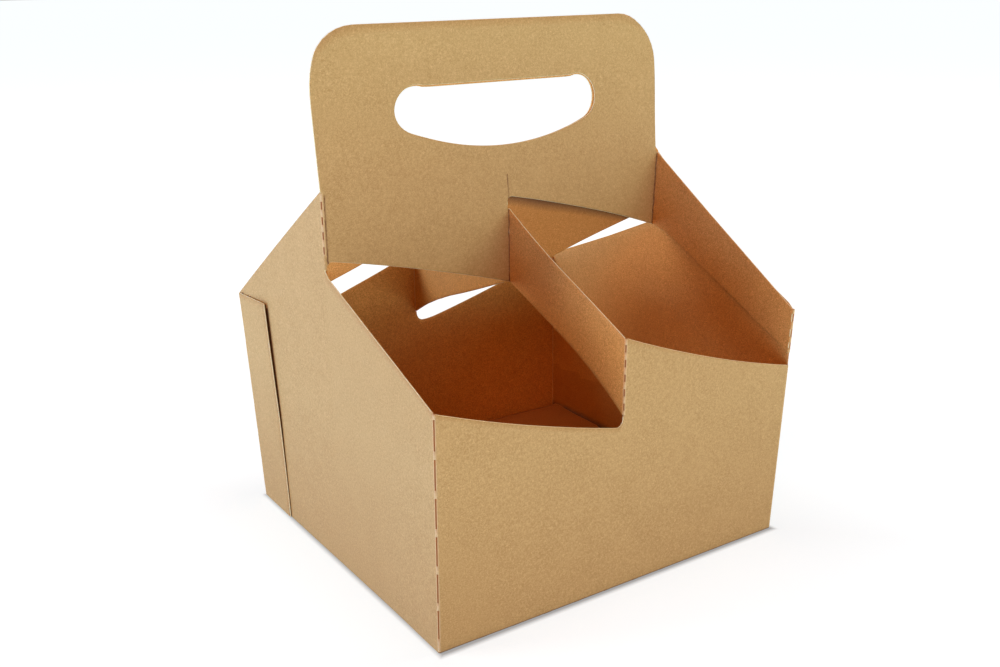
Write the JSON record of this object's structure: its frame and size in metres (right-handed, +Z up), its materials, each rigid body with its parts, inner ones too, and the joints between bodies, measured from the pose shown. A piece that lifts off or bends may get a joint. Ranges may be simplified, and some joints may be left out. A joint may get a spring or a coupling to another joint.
{
  "type": "cardboard cup carrier",
  "caption": "Open-topped tray folded from one sheet of kraft card, with slanting straps that divide it into cup cells and a tall centre handle with a hand hole.",
  "frame": {"origin": "centre of the base, on the surface it stands on", "axes": "+Z up; the handle and the long front and back panels run along X; the front panel with its scoop on the left faces -Y"},
  "size_m": [0.2006, 0.19, 0.2574],
  "materials": {
    "kraft_card": "matt unbleached kraft card, fine mottled fibre, paler on cut edges"
  },
  "bodies": {
    "root": {"cup_carrier": "kraft_card"}
  },
  "joints": []
}
